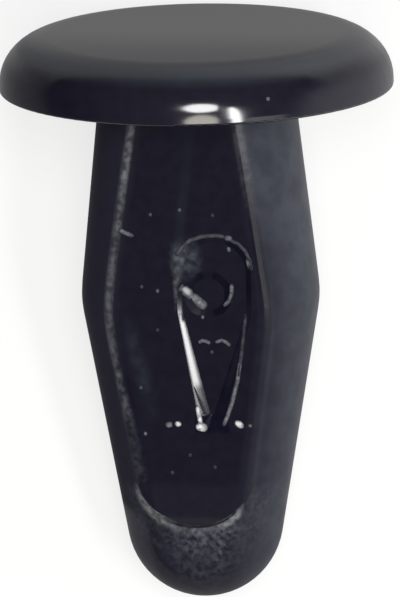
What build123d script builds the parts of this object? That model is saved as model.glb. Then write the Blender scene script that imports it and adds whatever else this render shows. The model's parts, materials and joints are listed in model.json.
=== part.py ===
from build123d import *
import os
from math import asin, atan2, cos, radians, sin, tan

# A one-piece moulded push rivet: a wide flat head, a barrel-shaped shank that squeezes through a
# panel hole, and a ball nose that leads it in. It is drawn upright (head up, axis on Z, underside
# of the head at Z = 0, front towards -Y) and then laid down as it rests on a table.
# Lengths are millimetres, angles are degrees, and depths run down from the underside of the head.

# Head
head_diameter = 18.0
head_height = 2.5
head_rim_height = 0.3          # of the upright edge below the quarter-round side
head_rim_round = 0.12          # of the lower corner of the rim

# Shank
shank_length = 23.9
neck_diameter = 8.9
neck_fillet = 0.25
bulge_diameter = 11.0
bulge_depth = 9.7
bulge_round = 5.0
nose_radius = 3.6

# Flat front and back faces
neck_flat_cut = 0.65           # how deep each face is cut into the barrel, at the neck
bulge_flat_cut = 1.5
flat_end_height = 4.0          # lower end of the face, above the tip of the nose
flat_end_margin = 0.77         # how much smaller the face's round lower end is than the ball nose
flat_edge_round = 0.5
nose_inset = 0.04              # how far the nose lies inside the line of the barrel
flat_end_recess = 0.25         # how far the face lies below the lead-in, at its lower end
flat_end_draft = 10.0          # slope of the low wall there

# Lead-in on the front and back of the nose
lead_in_cut = 0.25             # what it takes off the ball nose, level with the end of the face
lead_in_angle = 17.0
lead_in_radius = 14.0

# Shallow shield-shaped recess in each flat face
recess_slope = 20.0            # of its sides, and of the dimple's
recess_offset = 1.22           # its middle, to the right of the axis
recess_width = 3.4
recess_depth = 0.09            # from its round top down to the bulge
recess_top_rise = 3.55         # its top, above the bulge
recess_end_drop = 5.45         # its round lower end, below the bulge
recess_end_offset = 0.93
recess_end_width = 1.3
recess_end_floor_width = 0.2   # its floor narrows to this, and so deepens

# Round dimple in the floor of the recess
dimple_diameter = 2.2
dimple_offset = 0.92
dimple_rise = 0.85             # its centre, above the bulge
dimple_depth = 0.13

tilt_tolerance = 0.001

# Working values
head_radius = head_diameter / 2
head_side_radius = head_height - head_rim_height
neck_flat_distance = neck_diameter / 2 - neck_flat_cut
bulge_flat_distance = bulge_diameter / 2 - bulge_flat_cut
flat_end_depth = shank_length - flat_end_height
flat_end_radius = nose_radius - flat_end_margin
lead_in_distance = nose_radius - lead_in_cut
flat_end_distance = lead_in_distance - flat_end_recess
recess_spread = 1 / tan(radians(recess_slope))
recess_end_depth = (recess_end_width - recess_end_floor_width) / 2 / recess_spread
clearance = recess_depth       # how far a recess cutter stands out of the face
reach = head_diameter          # how far any other cutter runs past the shank
root = head_height / 2         # how far the shank runs up into the head


def make_head():
    """Flat round head with a quarter-round side above a low upright rim, turned from its section."""
    side = CenterArc((head_radius - head_side_radius, head_rim_height), head_side_radius, 0, 90)
    corner = CenterArc((head_radius - head_rim_round, head_rim_round), head_rim_round, 270, 90)
    rim = Line(corner @ 1, side @ 0)
    rest = Polyline(side @ 1, (0, head_height), (0, 0), corner @ 0)
    return revolve(Plane.XZ * make_face([corner, rim, side, rest]), Axis.Z)


def make_barrel(inset=0):
    """Barrel with a ball nose: one cone opens to the bulge, the next closes onto the nose."""
    neck = Vector(neck_diameter / 2 - inset, 0)
    bulge = Vector(bulge_diameter / 2 - inset, -bulge_depth)
    start = neck + (neck - bulge) * (root / bulge_depth)
    nose_centre = Vector(0, nose_radius - shank_length)
    radius = nose_radius - inset
    to_nose = bulge - nose_centre
    slope = atan2(to_nose.X, to_nose.Y) - asin(radius / to_nose.length)
    half_way = slope / 2 + radians(45)
    touch = nose_centre + Vector(cos(slope), -sin(slope)) * radius
    middle = nose_centre + Vector(cos(half_way), -sin(half_way)) * radius
    nose = ThreePointArc(touch, middle, nose_centre - (0, radius))
    section = make_face([Polyline(nose @ 1, (0, root), start, bulge, touch), nose])
    ridge = section.vertices().sort_by_distance(bulge)[0]
    return revolve(Plane.XZ * fillet(ridge, bulge_round), Axis.Z)


def on_both_sides(cutter):
    return [cutter, cutter.rotate(Axis.Z, 180)]


def face_cutter():
    """What the front face takes off the barrel: two flats that meet in a soft ridge at the bulge."""
    opening = (bulge_flat_distance - neck_flat_distance) / bulge_depth
    top = neck_flat_distance - opening * root
    bulge = Vector(-bulge_flat_distance, -bulge_depth)
    end = Vector(-flat_end_distance, -flat_end_depth)
    foot = bulge + (end - bulge).normalized() * shank_length
    side = make_face(Polyline((-reach, root), (-top, root), bulge, foot, (-reach, foot.Y), close=True))
    ridge = side.vertices().sort_by_distance(bulge)[0]
    return extrude(Plane.YZ * fillet(ridge, bulge_round), reach, both=True)


def lead_in_cutter():
    """What the curved front lead-in takes off the ball nose."""
    angle = radians(lead_in_angle)
    centre = (lead_in_radius * cos(angle) - lead_in_distance,
              lead_in_radius * sin(angle) - flat_end_depth)
    curve = CenterArc(centre, lead_in_radius, 180, 70)
    outside = Polyline(curve @ 1, (-reach, (curve @ 1).Y), (-reach, centre[1]), curve @ 0)
    return extrude(Plane.YZ * make_face([curve, outside]), reach, both=True)


def face_window():
    """What stands clear of the front face, down to the low wall at its round lower end."""
    end_centre = flat_end_radius - flat_end_depth
    window = Pos(0, (root + end_centre) / 2) * Rectangle(2 * reach, root - end_centre)
    window += Pos(0, end_centre) * Circle(flat_end_radius)
    base = Plane((0, -flat_end_distance, 0), x_dir=(1, 0, 0), z_dir=(0, -1, 0))
    clear = extrude(base * window, nose_radius, taper=-flat_end_draft)
    return clear + extrude(base * window, -flat_end_distance / 2)


def make_faced_barrel():
    """Barrel with both flat faces, their long edges rounded."""
    barrel = (make_barrel() - on_both_sides(face_cutter())).solid()
    long_edges = barrel.edges().filter_by(lambda edge: abs(edge.center().Y) > neck_flat_distance / 2)
    return barrel.fillet(flat_edge_round, long_edges.filter_by(GeomType.LINE, reverse=True))


def make_nose():
    """Nose with its two lead-ins, standing out from the round lower ends of the flat faces."""
    nose = make_barrel(nose_inset) - on_both_sides(lead_in_cutter())
    nose -= on_both_sides(face_window())
    return nose.solid()


def half_section(half_width, depth):
    """Right half of a hollow's cross-section, which opens outwards: X across, Y out of the face."""
    floor = half_width - depth * recess_spread
    mouth = half_width + clearance * recess_spread
    return make_face(Polyline((0, clearance), (0, -depth), (floor, -depth), (mouth, clearance), close=True))


def cross_section(half_width, depth):
    half = half_section(half_width, depth)
    return half + mirror(half, Plane.YZ)


def round_hollow(place, half_width, depth, angle):
    """Round hollow, or the round end of a long one, turned from half of its cross-section."""
    return revolve(place * half_section(half_width, depth), Axis(place.origin, place.y_dir), angle)


def face_directions():
    """Which way the front face runs from the bulge: up to the neck, and down to its lower end."""
    up = Vector(0, bulge_flat_distance - neck_flat_distance, bulge_depth)
    down = Vector(0, bulge_flat_distance - flat_end_distance, bulge_depth - flat_end_depth)
    return up.normalized(), down.normalized()


def place_on_face(offset, travel, down):
    """Plane square to the front face, reached by travelling along the face from the bulge."""
    bulge = Vector(offset, -bulge_flat_distance, -bulge_depth)
    return Plane(bulge + travel, x_dir=(1, 0, 0), z_dir=down)


def recess_cutter():
    """Shield-shaped hollow with two round ends, which follows the face over the bulge."""
    up, down = face_directions()
    half = recess_width / 2
    end_half = recess_end_width / 2
    top = place_on_face(recess_offset, up * (recess_top_rise - half), -up)
    middle = place_on_face(recess_offset, Vector(0, 0, 0), down - up)
    end = place_on_face(recess_end_offset, down * (recess_end_drop - end_half), down)
    wide = cross_section(half, recess_depth)
    narrow = cross_section(end_half, recess_end_depth)
    hollow = loft([top * wide, middle * wide, end * narrow], ruled=True)
    hollow += round_hollow(top, half, recess_depth, 180)
    return hollow + round_hollow(end, end_half, recess_end_depth, -180)


def dimple_cutter():
    """Round hollow that starts from the floor of the recess."""
    up = face_directions()[0]
    centre = place_on_face(dimple_offset, up * dimple_rise, -up)
    mouth_radius = dimple_diameter / 2 + recess_depth * recess_spread
    return round_hollow(centre, mouth_radius, recess_depth + dimple_depth, 360)


def make_shank():
    """Whole shank, from inside the head to the tip of the nose, with its two recesses."""
    shank = make_faced_barrel() + make_nose()
    return (shank - on_both_sides(recess_cutter() + dimple_cutter())).solid()


def join(head, shank):
    """Head and shank in one piece, with a fillet where they meet."""
    rivet = (head + shank).solid()
    seam = rivet.faces().filter_by(GeomType.PLANE).sort_by(lambda face: abs(face.center().Z))[0]
    return rivet.fillet(neck_fillet, seam.inner_wires()[0].edges())


def lay(shape, tilt):
    """Turn an upright shape onto its back face, head towards +Y, its axis rising by the tilt."""
    return Rot(X=tilt - 90) * shape


def resting_tilt(head, shank):
    """Tilt at which the head's rim and the back of the nose touch the table together."""
    low, high = 0.0, 45.0
    while high - low > tilt_tolerance:
        tilt = (low + high) / 2
        if lay(head, tilt).bounding_box().min.Z < lay(shank, tilt).bounding_box().min.Z:
            low = tilt
        else:
            high = tilt
    return low


head = make_head()
shank = make_shank()
laid = lay(join(head, shank), resting_tilt(head, shank))
box = laid.bounding_box()
rivet = Pos(-box.center().X, -box.center().Y, -box.min.Z) * laid

os.makedirs("parts", exist_ok=True)
export_step(rivet, "parts/rivet.step")
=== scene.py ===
import json
from math import cos, hypot, pi, radians, sin, sqrt

import bpy
from mathutils import Matrix, Vector
from mathutils.bvhtree import BVHTree


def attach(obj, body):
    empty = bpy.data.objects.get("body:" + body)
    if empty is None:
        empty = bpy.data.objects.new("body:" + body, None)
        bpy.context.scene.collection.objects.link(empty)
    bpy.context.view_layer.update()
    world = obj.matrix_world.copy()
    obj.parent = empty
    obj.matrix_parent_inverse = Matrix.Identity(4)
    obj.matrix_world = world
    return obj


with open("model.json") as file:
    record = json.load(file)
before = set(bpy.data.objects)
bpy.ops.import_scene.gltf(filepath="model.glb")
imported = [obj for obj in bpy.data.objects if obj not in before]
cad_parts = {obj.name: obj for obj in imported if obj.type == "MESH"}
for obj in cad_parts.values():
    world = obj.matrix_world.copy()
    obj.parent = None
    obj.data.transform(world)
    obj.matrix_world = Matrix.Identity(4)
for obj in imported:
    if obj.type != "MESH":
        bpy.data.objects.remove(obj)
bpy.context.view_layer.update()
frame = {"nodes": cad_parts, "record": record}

# The looks of a black nylon push rivet that lies on a pale floor: its camera and light, the floor, the
# nylon's material with its painted sheen and reflections, and the scratches, dust and painted glints on its
# front. Blender's lengths are metres. Lengths on the rivet are written in millimetres: across to the right
# of its axis, depth down from the underside of its head towards the nose, and out from its axis through the
# front face.

# ---- the rivet as it lies -----------------------------------------------------------------------
MM = 0.001
seat = frame["record"]["mounts"][0]
AXIS = -Vector(seat["axis"])                   # from the nose to the head
SIDE = Vector((1, 0, 0))
FRONT = SIDE.cross(AXIS)                       # out of the front face
UNDERSIDE = Vector((0, *seat["pos_m"][1:]))    # where the axis meets the underside of the head
rivet = frame["nodes"]["rivet"]

# ---- places on the rivet, in millimetres --------------------------------------------------------
BULGE_DEPTH = 9.7
FLAT_OUT = 4.0                 # how far out the front face lies, at the bulge
FLAT_CLOSING = 0.0882          # how much nearer the axis it comes with each millimetre below the bulge
EDGE_ACROSS = 3.85             # where the two lines of the face's long edge meet, level with the bulge
EDGE_CLOSING = 0.16            # how much nearer the axis they come with each millimetre up or down
EDGE_BEND = 1.5                # how soft the bend between them is, in square millimetres
FLAT_END_DEPTH = 17.07         # centre of the face's round lower end
FLAT_END_RADIUS = 2.83
RECESS_DEPTH = 0.09
RECESS_DEEPENING = 0.023       # with each millimetre below the bulge
RECESS_END_ACROSS = 0.93       # centre of the recess's round lower end
RECESS_END_DEPTH = 14.5
SPLIT_ACROSS = 0.16            # where the reflection on the recess's left wall splits in two
SPLIT_DEPTH = 13.2
SPLIT_SLOPE = 0.33             # how far across the split runs with each millimetre down
CLEAR_OUT = 20.0               # further out than any part of the rivet

# ---- camera -------------------------------------------------------------------------------------
VIEW_AZIMUTH = radians(8.75)   # to the right of the front face
VIEW_ELEVATION = radians(12.9) # towards the head
VIEW_ROLL = radians(1.2)
VIEW_DISTANCE = 0.4
NEAREST_SEEN = 0.01
FARTHEST_SEEN = 10
PIXELS_PER_MM = 21.8           # at the aim point
IMAGE_HEIGHT = 597
AIM_DEPTH = 10                 # the aim point is on the axis, this far below the head
AIM_PIXELS_RIGHT = 1.0         # of the image centre
AIM_PIXELS_DOWN = 1.6
SENSOR_WIDTH = 36.0


def look_from(right, up, back, place):
    """Matrix of a camera or a lamp at a place, from the directions of its own axes."""
    matrix = Matrix((right, up, back)).transposed().to_4x4()
    matrix.translation = place
    return matrix


def make_camera():
    ahead = FRONT * cos(VIEW_AZIMUTH) + SIDE * sin(VIEW_AZIMUTH)
    back = ahead * cos(VIEW_ELEVATION) + AXIS * sin(VIEW_ELEVATION)
    level = SIDE * cos(VIEW_AZIMUTH) - FRONT * sin(VIEW_AZIMUTH)
    upright = AXIS * cos(VIEW_ELEVATION) - ahead * sin(VIEW_ELEVATION)
    right = level * cos(VIEW_ROLL) - upright * sin(VIEW_ROLL)
    up = level * sin(VIEW_ROLL) + upright * cos(VIEW_ROLL)
    aim = UNDERSIDE - AXIS * (AIM_DEPTH * MM)
    offset = right * AIM_PIXELS_RIGHT - up * AIM_PIXELS_DOWN
    place = aim + back * VIEW_DISTANCE - offset * (MM / PIXELS_PER_MM)
    field_height = IMAGE_HEIGHT / PIXELS_PER_MM * MM
    data = bpy.data.cameras.new("camera")
    data.sensor_width = SENSOR_WIDTH
    data.lens = SENSOR_WIDTH * VIEW_DISTANCE / field_height
    data.clip_start = NEAREST_SEEN
    data.clip_end = FARTHEST_SEEN
    camera = bpy.data.objects.new("camera", data)
    camera.matrix_world = look_from(right, up, back, place)
    bpy.context.scene.collection.objects.link(camera)
    bpy.context.scene.camera = camera


make_camera()

# ---- light --------------------------------------------------------------------------------------
LAMP_DISTANCE = 0.8
LAMP_RADIANCE = 18.0
WORLD_STRENGTH = 0.09
WARM_WHITE = (1, 0.96, 0.84)


def make_lamp(name, start, end, width, strength=1.0, colour=(1, 1, 1)):
    """Flat oval lamp that faces the rivet, runs from one direction to another and is some degrees wide."""
    start = Vector(start).normalized()
    end = Vector(end).normalized()
    back = (start + end).normalized()
    up = (start - end).normalized()
    data = bpy.data.lights.new(name, "AREA")
    data.shape = "ELLIPSE"
    data.size = radians(width) * LAMP_DISTANCE
    data.size_y = start.angle(end) * LAMP_DISTANCE
    area = data.size * data.size_y * pi / 4
    data.energy = LAMP_RADIANCE * strength * pi * area
    data.color = colour
    lamp = bpy.data.objects.new(name, data)
    lamp.matrix_world = look_from(up.cross(back), up, back, back * LAMP_DISTANCE)
    bpy.context.scene.collection.objects.link(lamp)


def make_world():
    """Dim white light from all round."""
    world = bpy.data.worlds.new("studio")
    world.use_nodes = True
    background = world.node_tree.nodes["Background"]
    background.inputs["Color"].default_value = (1, 1, 1, 1)
    background.inputs["Strength"].default_value = WORLD_STRENGTH
    bpy.context.scene.world = world


# The main lamp is the oval glint on the head's rim, the strip is the spot beside it and the bright wedge
# in the recess, and the warm one is the beige patch below them. The two on the right are faint.
make_lamp("main", (0.17, 0.19, 0.96), (0.17, -0.15, 0.97), 19)
make_lamp("strip", (0.45, 0.05, 0.89), (0.51, -0.53, 0.69), 6.5, 1.35)
make_lamp("warm", (0.185, -0.22, 0.96), (0.185, -0.54, 0.82), 20, 0.42, WARM_WHITE)
make_lamp("right_low", (0.58, -0.42, 0.7), (0.87, -0.35, 0.35), 13, 0.08)
make_lamp("right_wall", (0.93, 0.5, 0.14), (0.93, -0.5, 0.14), 16, 0.045)
make_world()


# ---- materials as sums ---------------------------------------------------------------------------
class Amount:
    """Number that varies over a surface. Arithmetic with it adds nodes to its material."""

    def __init__(self, nodes, socket):
        self.nodes = nodes
        self.socket = socket

    def __add__(self, other):
        return self.nodes.math("ADD", self, other)

    def __sub__(self, other):
        return self.nodes.math("SUBTRACT", self, other)

    def __rsub__(self, other):
        return self.nodes.math("SUBTRACT", other, self)

    def __mul__(self, other):
        return self.nodes.math("MULTIPLY", self, other)

    def __truediv__(self, other):
        return self.nodes.math("DIVIDE", self, other)

    def __abs__(self):
        return self.nodes.math("ABSOLUTE", self)

    def root(self):
        return self.nodes.math("SQRT", self)

    def ramp(self, low, high, low_result, high_result):
        """Runs softly from one result to the other, while the number runs from low to high."""
        return self.nodes.ramp(self, low, high, low_result, high_result)

    def rises(self, low, high):
        """Mask that comes in from low to high."""
        return self.ramp(low, high, 0, 1)

    def falls(self, low, high):
        """Mask that goes out from low to high."""
        return self.ramp(low, high, 1, 0)


def distance(a, b):
    return (a * a + b * b).root()


class Nodes:
    """Material whose colour, gloss and roughness are worked out from masks."""

    def __init__(self, name):
        self.material = bpy.data.materials.new(name)
        self.material.use_nodes = True
        self.tree = self.material.node_tree
        self.shader = self.tree.nodes["Principled BSDF"]

    def feed(self, socket, value):
        if isinstance(value, Amount):
            value = value.socket
        if isinstance(value, bpy.types.NodeSocket):
            self.tree.links.new(value, socket)
        else:
            socket.default_value = value

    def make(self, kind, values, operation=None):
        """New node of a kind, with its inputs fed by name or number."""
        node = self.tree.nodes.new("ShaderNode" + kind)
        if operation:
            node.operation = operation
        for name, value in values.items():
            self.feed(node.inputs[name], value)
        return node

    def amount(self, node, output=0):
        return Amount(self, node.outputs[output])

    def math(self, operation, a, b=0.0):
        return self.amount(self.make("Math", {0: a, 1: b}, operation))

    def dot(self, vector, direction):
        return self.amount(self.make("VectorMath", {0: vector, 1: direction}, "DOT_PRODUCT"), "Value")

    def ramp(self, value, low, high, low_result, high_result):
        node = self.make("MapRange", {"Value": value})
        node.interpolation_type = "SMOOTHSTEP"
        for name, number in (("From Min", low), ("From Max", high),
                             ("To Min", low_result), ("To Max", high_result)):
            self.feed(node.inputs[name], number)
        return self.amount(node)

    def noise(self, place, scale, detail):
        return self.amount(self.make("TexNoise", {"Vector": place, "Scale": scale, "Detail": detail}))

    def blend(self, mask, a, b):
        return self.amount(self.make("Mix", {0: mask, 2: a, 3: b}))

    def with_hazes(self, colour, hazes):
        """Colour with pale hazes laid over it, each a mask and what it adds."""
        for mask, haze in hazes:
            layer = self.make("VectorMath", {0: haze, "Scale": mask}, "SCALE").outputs[0]
            colour = self.make("VectorMath", {0: colour, 1: layer}, "ADD").outputs[0]
        return colour


# ---- floor --------------------------------------------------------------------------------------
FLOOR_REACH = 1.5
FLOOR_COLOUR = (0.9, 0.9, 0.9, 1)
FLOOR_ROUGHNESS = 0.9
FLOOR_GLOSS = 0.1
FLOOR_WHITENING = 0.75         # how much of plain white is mixed in, where the floor itself is seen


def make_paper():
    """White paper that keeps the rivet's shadow. Where it is seen or mirrored it is nearly plain white."""
    paper = Nodes("floor_paper")
    paper.shader.inputs["Base Color"].default_value = FLOOR_COLOUR
    paper.shader.inputs["Roughness"].default_value = FLOOR_ROUGHNESS
    paper.shader.inputs["Specular IOR Level"].default_value = FLOOR_GLOSS
    ray = paper.make("LightPath", {})
    seen = paper.amount(ray, "Is Camera Ray") + paper.amount(ray, "Is Glossy Ray")
    seen = seen + paper.amount(ray, "Is Transmission Ray")
    white = paper.make("Emission", {})
    shares = {0: seen * FLOOR_WHITENING, 1: paper.shader.outputs[0], 2: white.outputs[0]}
    mix = paper.make("MixShader", shares)
    paper.feed(paper.tree.nodes["Material Output"].inputs["Surface"], mix.outputs[0])
    return paper.material


def make_floor():
    corners = [(x * FLOOR_REACH, y * FLOOR_REACH, 0) for x, y in ((-1, -1), (1, -1), (1, 1), (-1, 1))]
    mesh = bpy.data.meshes.new("floor")
    mesh.from_pydata(corners, [], [range(len(corners))])
    mesh.materials.append(make_paper())
    floor = bpy.data.objects.new("floor", mesh)
    bpy.context.scene.collection.objects.link(floor)


make_floor()

# ---- nylon --------------------------------------------------------------------------------------
# The surface is described by masks from 0 to 1. The first two numbers given to rises, falls and ramp are
# where a mask starts and ends: millimetres for places and distances, and a share of the unit normal for
# faces_up, faces_side and steep. Gloss is the specular level, and a haze is what is added to the colour.
# Many hazes are painted light: sheen, reflections and highlights laid into the colour.
CLEAN_BLACK = (0.005, 0.0045, 0.012)
DULL_BLACK = (0.009, 0.008, 0.016)
CLEAN_GLOSS = 0.65             # of the flats and the side of the head
FLAT_ROUGHNESS = 0.1
FLANK_ROUGHNESS = 0.45
WALL_ROUGHNESS = 0.4           # of the recess's walls above the bulge
HEAD_SIDE_ROUGHNESS = 0.12     # in front and behind
HEAD_ENDS_ROUGHNESS = 0.4      # of the same side, to the left and right
HEAD_TOP_ROUGHNESS = 0.62      # towards the front
HEAD_BACK_ROUGHNESS = 0.5      # of the top, towards the back
MATT_ROUGHNESS = 0.55          # of the nose and the underside of the head


class Spot:
    """Where a point of the surface lies on the rivet, which way it faces, and which parts it is in."""

    def __init__(self, nodes):
        geometry = nodes.make("NewGeometry", {})
        normal = geometry.outputs["Normal"]
        self.nodes = nodes
        self.place = geometry.outputs["Position"]
        self.across = nodes.dot(self.place, SIDE) / MM
        self.depth = (UNDERSIDE.dot(AXIS) - nodes.dot(self.place, AXIS)) / MM
        self.out = (nodes.dot(self.place, FRONT) - UNDERSIDE.dot(FRONT)) / MM
        self.faces_up = nodes.dot(normal, AXIS)
        self.faces_side = nodes.dot(normal, SIDE)
        self.steep = abs(self.faces_side)

        self.below_bulge = self.depth - BULGE_DEPTH
        bend = (self.below_bulge * self.below_bulge + EDGE_BEND).root()
        self.past_edge = abs(self.across) - (EDGE_ACROSS - bend * EDGE_CLOSING)

        self.on_head = self.depth.falls(0.0, 0.05)
        self.on_shank = 1 - self.on_head
        self.on_front = self.out.rises(0.5, 1.5)
        self.on_left = self.across.falls(-1.5, -1.0) * self.on_shank
        self.on_right = self.across.rises(1.0, 1.5) * self.on_shank
        self.on_face = self.past_edge.falls(-0.6, -0.4)
        self.left_flank = self.past_edge.rises(-0.1, 0.3) * self.on_left
        self.right_edge = self.past_edge.rises(-0.4, -0.25) * self.past_edge.falls(0.1, 0.3) * self.on_right
        self.wall = self.steep.rises(0.05, 0.15) * self.on_face
        self.upper_wall = self.wall * self.below_bulge.falls(-0.9, 0.5) * self.on_shank
        self.head_under = self.faces_up.falls(-0.9, -0.5)
        self.nose = self.depth.rises(19.2, 20.0) * self.on_shank

        self.beads = self.mottle(3600, 1.5, 0.2, 1) * self.mottle(700, 1.0, 0.7, 1.2)

    def mottle(self, scale, detail, least, most, dark=0.3, light=0.7):
        """Cloudy noise that runs from least to most."""
        return self.nodes.noise(self.place, scale, detail).ramp(dark, light, least, most)


def nylon_roughness(at):
    """Glossy flats and head side, satin head top, dull flanks, recess walls, head underside and nose."""
    blend = at.nodes.blend
    shank = at.past_edge.ramp(-0.35, 0.1, FLAT_ROUGHNESS, FLANK_ROUGHNESS)
    shank = blend(at.upper_wall, shank, WALL_ROUGHNESS)
    head_side = at.steep.ramp(0.5, 0.85, HEAD_SIDE_ROUGHNESS, HEAD_ENDS_ROUGHNESS)
    head_top = at.out.ramp(-1.0, 7.0, HEAD_BACK_ROUGHNESS, HEAD_TOP_ROUGHNESS)
    head = blend(at.faces_up.rises(0.55, 0.95), head_side, head_top)
    head = blend(at.head_under, head, MATT_ROUGHNESS)
    return blend(at.nose, blend(at.on_head, shank, head), MATT_ROUGHNESS)


def recess_gloss(at):
    """Levels round the recess, which leave one bright wedge on its left wall, split at its lower end."""
    dimple_wall = at.steep.rises(0.05, 0.12) * at.across.rises(-0.35, -0.25) * at.across.falls(2.0, 2.2)
    dimple_wall = dimple_wall * at.depth.rises(7.0, 7.2) * at.depth.falls(10.0, 10.2)

    below_end = at.depth - RECESS_END_DEPTH
    below_split = at.depth - SPLIT_DEPTH
    from_split = at.across - below_split * SPLIT_SLOPE - SPLIT_ACROSS
    inner_branch = from_split.rises(0.0, 0.1) * below_split.rises(-0.3, 0.2) * at.wall * at.on_front
    split = abs(from_split).falls(0.02, below_split.ramp(-0.1, 1.1, 0.04, 0.24)) * at.on_front
    split = split * below_split.rises(-0.1, 0.1) * below_end.falls(0.0, 0.3)

    sunk = FLAT_OUT - at.below_bulge * FLAT_CLOSING - at.out
    sunk = sunk / (at.below_bulge * RECESS_DEEPENING + RECESS_DEPTH)
    rims = 1 - sunk.ramp(0.0, 0.3, 0.1, 1) * sunk.ramp(0.5, 1.0, 1, 0.1)
    rims = rims * at.steep.rises(0.05, 0.12) * at.on_face
    rims = rims * at.below_bulge.rises(0.0, 0.2) * below_end.falls(0.1, 0.3)

    round_end = abs(at.across - RECESS_END_ACROSS).falls(0.7, 0.9)
    round_end = round_end * below_end.rises(0.0, 0.15) * below_end.falls(0.8, 1.0)
    return [(at.upper_wall, 0.03), (dimple_wall, 0.03), (inner_branch, 0.15), (rims, 0.02),
            (split, 0.02), (round_end, 0.01)]


def head_gloss(at):
    """Levels on the head: satin on top, and duller to the left than to the right of its side."""
    top = at.faces_up.rises(0.5, 0.9) * at.on_head
    left = at.faces_side.falls(-0.6, -0.1) * at.on_head
    right = at.faces_side.rises(0.4, 0.7) * at.on_head
    return [(top, 0.5), (left, 0.06), (right, 0.25), (at.head_under, 0.1)]


def flank_gloss(at):
    """Levels on the flanks, and on the left rounded edge where it runs in to the nose."""
    left_round = at.past_edge.rises(-0.6, -0.4) * at.on_left * at.depth.rises(10.5, 13.0)
    right_flank = at.past_edge.rises(-0.2, 0.4) * at.on_right
    return [(left_round, 0.05), (at.left_flank, 0.003), (right_flank, 0.05)]


def nylon_gloss(at):
    """Specular level: each mask takes it from what it was to a level of its own."""
    right_edge = at.right_edge * at.depth.ramp(0.0, 5.0, 0.7, 1)
    levels = flank_gloss(at) + head_gloss(at) + recess_gloss(at) + [(right_edge, 0.1), (at.nose, 0.08)]
    gloss = CLEAN_GLOSS
    for mask, level in levels:
        gloss = at.nodes.blend(mask, gloss, level)
    return gloss


def head_painted_light(at):
    """Painted light on the head: a painted sheen where the top rolls over into the side, lighter towards
    the right, and a painted reflection low on the right of the side.
    """
    # painted sheen where the top rolls over, lighter towards the right
    rolls_over = at.faces_up.rises(0.55, 0.88) * at.faces_up.falls(0.93, 1.0) * at.on_head
    rolls_over = rolls_over * at.across.ramp(-4.0, 3.0, 0.8, 1.5) * at.across.ramp(5.5, 8.0, 1, 0.4)
    # painted reflection of the bright surroundings on the right
    low_right = at.faces_side.rises(0.5, 0.8) * at.faces_up.falls(0.25, 0.6) * at.on_head
    return [(rolls_over, (0.016, 0.021, 0.023)), (low_right, (0.014, 0.013, 0.015))]


def flank_painted_light_and_rubbing(at):
    """Painted light on the flanks: a grey right flank lighter than the dim bluish left flank, and a painted
    highlight along the upper part of the right rounded edge; and the left long edge of the front face,
    rubbed pale.
    """
    # painted light: the right flank lighter and grey
    starts = at.depth.ramp(7.5, 11.0, -0.25, -0.7)
    ends = at.depth.ramp(2.0, 11.0, 0.2, 1.3)
    right = at.past_edge.rises(starts, ends) * at.on_right * at.mottle(900, 4.0, 0.8, 1.15)
    right = right * at.depth.ramp(5.0, 17.0, 1, 0.65) * at.steep.ramp(0.75, 1.0, 1, 1.4)

    # painted highlight along the upper part of the right rounded edge
    right_edge = at.right_edge * at.on_front * at.depth.falls(2.5, 6.0) * at.beads

    middle = at.depth.ramp(12.0, 17.0, 0, -0.15)
    half_width = at.depth.ramp(12.0, 17.0, 0.28, 0.45)
    left_edge = abs(at.past_edge - middle).falls(0.0, half_width)
    left_edge = left_edge * at.on_left * at.on_front * at.beads
    left_edge = left_edge * at.depth.ramp(3.0, 7.0, 1.25, 0.85) * at.depth.ramp(12.5, 16.5, 1, 0.28)
    left_edge = left_edge * at.depth.falls(17.2, 18.4)
    # the left flank's haze is a painted dim bluish reflection; the left edge's is its own rubbed pale
    # colour
    return [(right, (0.034, 0.0385, 0.0445)), (at.left_flank, (0.013, 0.0125, 0.018)),
            (right_edge, (0.03, 0.03, 0.03)), (left_edge, (0.1, 0.108, 0.112))]


def nose_frost_and_painted_highlight(at):
    """Frosted, mottled front of the nose, with painted light that is brightest just below the face and
    fades towards the tip and the sides, and a painted highlight along the edge where the nose meets the
    face, dimmer in its middle.
    """
    past_end = distance(at.depth - FLAT_END_DEPTH, at.across) - FLAT_END_RADIUS
    in_front = at.depth.rises(17.8, 18.4) * at.out.rises(1.0, 2.5)

    # frosted grain, with painted light that fades from just below the face towards the tip
    frost_and_sheen = at.mottle(3900, 3.0, 0.05, 1.5, 0.28, 0.76) * at.mottle(1300, 1.0, 0.6, 1.2) * in_front
    frost_and_sheen = frost_and_sheen * past_end.rises(-0.03, 0.12) * past_end.ramp(0.27, 2.97, 1, 0.12)
    frost_and_sheen = frost_and_sheen * abs(at.across - 0.45).ramp(0.3, 2.1, 1, 0.22)

    # painted highlight along the edge where the nose meets the face, dimmer in the middle
    edge_highlight = past_end.rises(-0.07, 0.05) * past_end.falls(0.09, 0.47) * in_front * at.beads
    edge_highlight = edge_highlight * at.across.rises(-2.9, -2.6) * at.across.falls(1.95, 2.35)
    edge_highlight = edge_highlight * abs(at.across).ramp(0.6, 2.2, 0.35, 1)
    return [(frost_and_sheen, (0.055, 0.062, 0.067)), (edge_highlight, (0.2, 0.208, 0.208))]


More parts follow.
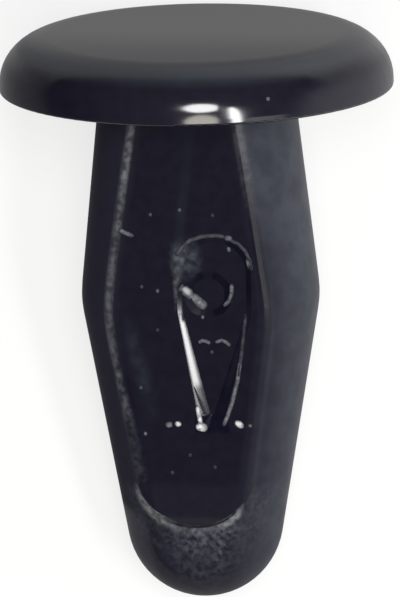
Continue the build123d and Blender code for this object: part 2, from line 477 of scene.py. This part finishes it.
def front_painted_sheen_and_streaks(at):
    """Pale hazes on the front face: a painted reflection down the upper left wall of the recess and inside
    its round top, a faint pale line above the recess, and a faint streak down the left side.
    """
    # painted reflection on the recess's upper left wall
    rim_across = at.depth.ramp(6.5, 9.0, -0.4, -0.56)
    rim_width = at.depth.ramp(6.7, 9.0, 0.5, 0.14)
    rim = abs(at.across - rim_across).falls(0.0, rim_width) * at.mottle(3600, 2.5, 0.1, 1.2, 0.28, 0.75)
    rim = rim * at.on_front * at.depth.rises(6.3, 7.2) * at.depth.falls(8.8, 9.8)

    # painted reflection inside the recess's round top
    from_top = distance(at.across + 0.05, (at.depth - 7.2) * 0.75)
    inside_top = from_top.falls(0.1, 0.95) * at.on_front * at.mottle(3200, 2.5, 0.2, 1.2, 0.28, 0.75)

    line_across = 0.42 - at.depth * 0.13
    line = abs(at.across - line_across).falls(0.05, 0.4) * at.on_front * at.mottle(1200, 2.0, 0.5, 1)
    line = line * at.depth.ramp(0.5, 6.2, 0.2, 1) * at.depth.falls(6.4, 7.2)

    streak_across = at.depth * 0.22 - 5.0
    streak = abs(at.across - streak_across).falls(0.0, 0.6) * at.on_front * at.mottle(1500, 3.0, 0.2, 1)
    streak = streak * abs(at.depth - 12.2).falls(0.3, 3.2)
    return [(rim, (0.06, 0.065, 0.07)), (inside_top, (0.04, 0.047, 0.052)),
            (line, (0.005, 0.008, 0.01)), (streak, (0.011, 0.014, 0.017))]


def nylon_colour(at):
    """Black, deepest on the flats of the front, with a fine grain and the hazes of each part, most of them
    painted sheen, reflections and highlights.
    """
    on_flat = at.past_edge.falls(-0.6, -0.3) * at.on_front * at.on_shank * at.depth.falls(17.6, 18.2)
    grain = at.mottle(1800, 4.0, 0.0, 1)
    hazes = [(1 - on_flat, Vector(DULL_BLACK) - Vector(CLEAN_BLACK)), (grain, (0.002, 0.002, 0.003))]
    hazes += head_painted_light(at) + flank_painted_light_and_rubbing(at) + nose_frost_and_painted_highlight(at) + front_painted_sheen_and_streaks(at)
    return at.nodes.with_hazes(CLEAN_BLACK, hazes)


def make_nylon():
    nylon = Nodes("black_nylon")
    spot = Spot(nylon)
    nylon.feed(nylon.shader.inputs["Roughness"], nylon_roughness(spot))
    nylon.feed(nylon.shader.inputs["Specular IOR Level"], nylon_gloss(spot))
    nylon.feed(nylon.shader.inputs["Base Color"], nylon_colour(spot))
    return nylon.material


rivet.data.materials.clear()
rivet.data.materials.append(make_nylon())

# ---- scratches, dust and painted glints ---------------------------------------------------------
# Scratches, dust and painted glints on the front are low ridges on its surface; on the glints and the lit
# edge lines the pale colour is a painted highlight. Each is a width, a height and a line of points, as
# millimetres across and in depth.
STEP = 0.08                    # between the rings of a ridge
FEWEST_STEPS = 6               # from one point to the next
RING_POINTS = 6
SINK = 0.01                    # how far a ridge reaches down into the surface
END_RINGS = 3                  # over which a ridge thins out at an end
FIRST_RING = 0.3               # how far in from the very end its first ring lies, in rings
PALE_TOWARDS_CREST = 1.3       # power with which it turns pale as it rises out of the surface
DUST_WIDTH = 0.22
DUST_LENGTH = 0.176
DUST_HEIGHT = 0.03
MARK_ROUGHNESS = 0.5
MARK_GLOSS = 0.1
surface = BVHTree.FromPolygons([rivet.matrix_world @ vertex.co for vertex in rivet.data.vertices],
                               [face.vertices[:] for face in rivet.data.polygons])


def make_wear_and_glint(name, colour):
    """Nylon that turns pale where the mesh's value says so: the own colour of a scratch or a speck of dust,
    or a painted highlight on a glint.
    """
    wear_and_glint_nodes = Nodes(name)
    wear_and_glint = wear_and_glint_nodes.amount(wear_and_glint_nodes.make("Attribute", {}), "Fac")
    wear_and_glint.socket.node.attribute_name = "wear_and_glint"
    place = wear_and_glint_nodes.make("NewGeometry", {}).outputs["Position"]
    mottle = wear_and_glint_nodes.noise(place, 5000, 1.5).ramp(0.3, 0.7, 0.45, 1.15)
    wear_and_glint_nodes.feed(wear_and_glint_nodes.shader.inputs["Base Color"], wear_and_glint_nodes.with_hazes(DULL_BLACK, [(wear_and_glint * mottle, colour)]))
    wear_and_glint_nodes.shader.inputs["Roughness"].default_value = MARK_ROUGHNESS
    wear_and_glint_nodes.shader.inputs["Specular IOR Level"].default_value = MARK_GLOSS
    return wear_and_glint_nodes.material


def on_front(across, depth):
    """Where the front of the rivet is met, seen square on, and its normal there."""
    start = UNDERSIDE + SIDE * (across * MM) - AXIS * (depth * MM) + FRONT * (CLEAR_OUT * MM)
    return surface.ray_cast(start, -FRONT)[:2]


def along(points):
    """Points spread evenly along a line drawn from point to point."""
    spread = []
    for (across, depth), (next_across, next_depth) in zip(points, points[1:]):
        length = hypot(next_across - across, next_depth - depth)
        count = max(FEWEST_STEPS, round(length / STEP))
        spread += [(across + (next_across - across) * i / count, depth + (next_depth - depth) * i / count)
                   for i in range(count)]
    return spread + [points[-1]]


def thickness(index, last):
    """Share of its full size that a ridge has at a ring. It thins out to a round end."""
    from_end = (min(index, last - index) + FIRST_RING) / END_RINGS
    return sqrt(1 - (1 - min(1.0, from_end)) ** 2)


def add_ridge(verts, faces, wear_and_glint, points, width, height):
    """Low rounded ridge on the front surface, with how pale each of its points is, palest on its crest."""
    path = [on_front(*point) for point in along(points)]
    last = len(path) - 1
    rings = []
    for index, (place, normal) in enumerate(path):
        before = path[max(index - 1, 0)][0]
        after = path[min(index + 1, last)][0]
        beside = normal.cross(after - before).normalized()
        share = thickness(index, last)
        rings.append(range(len(verts), len(verts) + RING_POINTS))
        for k in range(RING_POINTS):
            angle = pi * k / (RING_POINTS - 1)
            lift = height * share * sin(angle) - SINK
            verts.append(place + beside * (width * share / 2 * cos(angle) * MM) + normal * (lift * MM))
            wear_and_glint.append(max(0.0, lift / (height - SINK)) ** PALE_TOWARDS_CREST)
    for ring, following in zip(rings, rings[1:]):
        faces += [(ring[k], ring[k + 1], following[k + 1], following[k]) for k in range(RING_POINTS - 1)]
        faces.append((ring[-1], ring[0], following[0], following[-1]))
    faces.append(tuple(reversed(rings[0])))
    faces.append(tuple(rings[-1]))


def make_marks(name, material, marks):
    verts, faces, wear_and_glint = [], [], []
    for width, height, points in marks:
        add_ridge(verts, faces, wear_and_glint, points, width, height)
    mesh = bpy.data.meshes.new(name)
    mesh.from_pydata(verts, [], faces)
    mesh.polygons.foreach_set("use_smooth", [True] * len(mesh.polygons))
    mesh.attributes.new("wear_and_glint", "FLOAT", "POINT").data.foreach_set("value", wear_and_glint)
    mesh.materials.append(material)
    piece = bpy.data.objects.new(name, mesh)
    bpy.context.scene.collection.objects.link(piece)
    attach(piece, "root")


def make_dust(name, material, places):
    """Specks, each a short ridge."""
    half = DUST_LENGTH / 2
    make_marks(name, material, [(DUST_WIDTH, DUST_HEIGHT, [(across - half, depth), (across + half, depth)])
                                for across, depth in places])


# On the dust and the scratch these pale colours are their own colour; on the glints, the edge lines and the
# stroke in the dimple they are painted highlights and reflections.
faint = make_wear_and_glint("faint_dust_and_edge_highlight", (0.055, 0.062, 0.066))
pale = make_wear_and_glint("pale_scratch_dust_and_glint", (0.15, 0.158, 0.168))
clear = make_wear_and_glint("clear_painted_reflection", (0.34, 0.35, 0.36))
bright = make_wear_and_glint("bright_painted_glint", (0.75, 0.75, 0.76))

make_marks("faint_painted_edge_highlights", faint, [
    # painted highlight along the rim of the recess: over its round top, then down its right side
    (0.24, 0.02, [(-0.51, 7.05), (-0.22, 6.64), (0.16, 6.31), (0.71, 6.13), (1.31, 6.08), (1.8, 6.15)]),
    (0.2, 0.02, [(1.9, 6.26), (2.35, 6.45), (2.67, 6.77), (2.88, 7.24), (2.96, 7.7)]),
    (0.22, 0.02, [(2.64, 9.7), (2.51, 10.75), (2.42, 11.46), (2.17, 12.9)]),
])
make_marks("pale_scratches_and_painted_glints", pale, [
    # scratch by the left edge
    (0.26, 0.02, [(-3.1, 5.85), (-2.86, 5.99), (-2.41, 6.17)]),
    # painted glints on the recess's upper right rim
    (0.3, 0.03, [(1.72, 6.17), (2.1, 6.22)]),
    (0.22, 0.02, [(1.88, 6.6), (1.94, 6.88)]),
    (0.26, 0.02, [(2.74, 7.1), (2.88, 7.65)]),
    # two short arcs below the dimple
    (0.22, 0.02, [(0.4, 11.14), (0.6, 11.02), (0.76, 11.04), (0.98, 11.16)]),
    (0.22, 0.02, [(1.17, 11.1), (1.49, 10.99), (1.7, 11.08), (1.88, 11.28)]),
    # painted highlight down the recess's lower right side
    (0.24, 0.02, [(2.34, 11.9), (2.17, 12.9), (1.92, 13.85), (1.67, 14.57), (1.44, 15.08)]),
    # dim painted glints at both ends of the row below the recess
    (0.34, 0.03, [(-1.22, 15.03), (-0.88, 15.05)]),
    (0.2, 0.03, [(2.6, 15.0), (2.78, 15.05)]),
    # painted reflection: a stroke into the dimple from the left, and a painted highlight on the dimple's
    # right rim
    (0.5, 0.03, [(-0.36, 8.44), (0.0, 8.78), (0.4, 9.14), (0.82, 9.5)]),
    (0.4, 0.04, [(-0.18, 8.6), (0.0, 8.78), (0.3, 9.05)]),
    (0.24, 0.02, [(2.02, 8.3), (2.01, 8.76), (1.86, 9.14), (1.6, 9.4)]),
])
make_marks("clear_painted_reflection_ridges", clear, [
    # brighter places in the painted reflection of the stroke
    (0.36, 0.055, [(-0.26, 8.5), (0.14, 8.88)]),
    (0.26, 0.05, [(0.42, 9.14), (0.66, 9.36)]),
])
make_marks("bright_painted_glints", bright, [
    # row of painted glints below the recess, from left to right
    (0.3, 0.03, [(-0.8, 15.0), (-0.48, 15.0)]),
    (0.46, 0.05, [(0.18, 15.07), (0.72, 15.19)]),
    (0.36, 0.03, [(2.0, 14.82), (2.38, 15.12)]),
    # painted highlight from the recess's bright left wall down to the middle glint
    (0.24, 0.03, [(0.28, 14.1), (0.35, 14.6), (0.44, 15.08)]),
])
make_dust("dust", pale, [(-0.3, 4.92), (-2.16, 15.48), (0.65, 9.89), (-1.38, 8.67), (4.4, -1.05)])
make_dust("fine_dust", faint, [(-1.65, 5.15), (1.2, 5.15), (-2.11, 8.49), (-1.43, 10.51), (-0.98, 17.34),
                               (-0.13, 16.48), (1.0, 17.05), (-2.29, 13.28), (1.02, 11.56)])

# ---- finish -------------------------------------------------------------------------------------
bpy.context.scene.view_settings.view_transform = "Standard"
